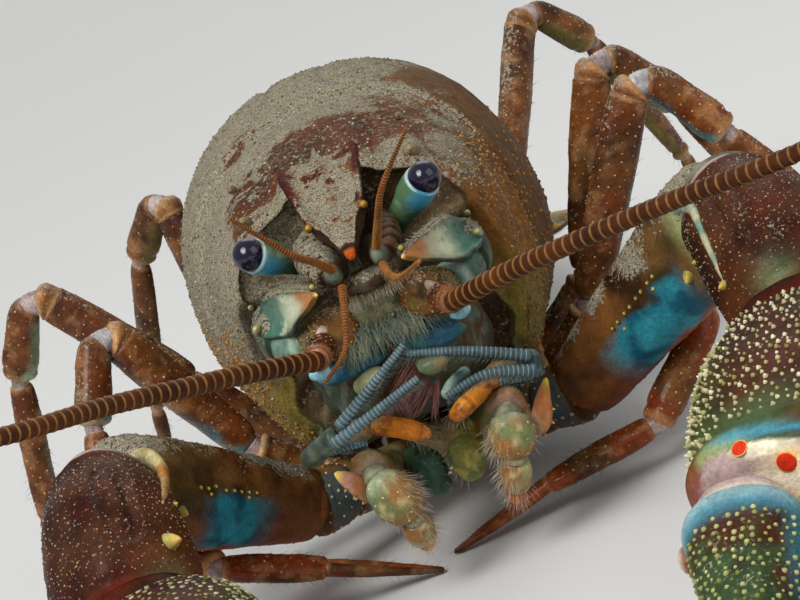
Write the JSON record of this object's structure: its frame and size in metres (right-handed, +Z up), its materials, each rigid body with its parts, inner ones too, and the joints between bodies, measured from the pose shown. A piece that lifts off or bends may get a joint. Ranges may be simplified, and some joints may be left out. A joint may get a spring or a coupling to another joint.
{
  "type": "crayfish model",
  "caption": "Life-size still model of a signal crayfish facing forward, great claws reaching to the front, legs braced and feelers spread wide",
  "frame": {"origin": "on the floor, under the centre of the whole model's bounding box, feelers and claws included", "axes": "+Z up, the head faces -Y, the tail lies towards +Y and the animal's left side is +X"},
  "size_m": [0.1624, 0.184, 0.0533],
  "materials": {
    "shell": "matte, speckled brown with grey dusting",
    "claw": "semi-gloss, dark maroon brown with pale tubercles",
    "leg": "semi-gloss, orange brown",
    "antenna": "satin, ringed brown",
    "mouthpart": "satin, olive and orange",
    "scale": "satin, pale green",
    "eyestalk": "semi-gloss, blue green",
    "eye": "glossy, near black"
  },
  "bodies": {
    "root": {"abdomen_1": "shell", "abdomen_2": "shell", "abdomen_3": "shell", "abdomen_4": "shell", "abdomen_5": "shell", "abdomen_6": "shell", "antenna_base_l": "mouthpart", "antenna_base_r": "mouthpart", "antenna_l_far": "antenna", "antenna_l_near": "antenna", "antenna_r_far": "antenna", "antenna_r_near": "antenna", "antenna_scale_l": "scale", "antenna_scale_r": "scale", "antennule_l": "antenna", "antennule_r": "antenna", "carapace": "shell", "claw_l_base": "claw", "claw_l_carpus": "claw", "claw_l_dactyl": "claw", "claw_l_merus": "claw", "claw_l_palm": "claw", "claw_r_base": "claw", "claw_r_carpus": "claw", "claw_r_dactyl": "claw", "claw_r_merus": "claw", "claw_r_palm": "claw", "exopod_l": "mouthpart", "exopod_r": "mouthpart", "eye_l": "eye", "eye_r": "eye", "eyestalk_l": "eyestalk", "eyestalk_r": "eyestalk", "leg_2_l_lower": "leg", "leg_2_l_upper": "leg", "leg_2_r_lower": "leg", "leg_2_r_upper": "leg", "leg_3_l_lower": "leg", "leg_3_l_upper": "leg", "leg_3_r_lower": "leg", "leg_3_r_upper": "leg", "leg_4_l_lower": "leg", "leg_4_l_upper": "leg", "leg_4_r_lower": "leg", "leg_4_r_upper": "leg", "leg_5_l_lower": "leg", "leg_5_l_upper": "leg", "leg_5_r_lower": "leg", "leg_5_r_upper": "leg", "maxilliped_l_lower": "mouthpart", "maxilliped_l_upper": "mouthpart", "maxilliped_r_lower": "mouthpart", "maxilliped_r_upper": "mouthpart", "mouth": "mouthpart", "sternum": "shell", "telson": "shell", "uropod_l": "shell", "uropod_r": "shell"}
  },
  "joints": []
}
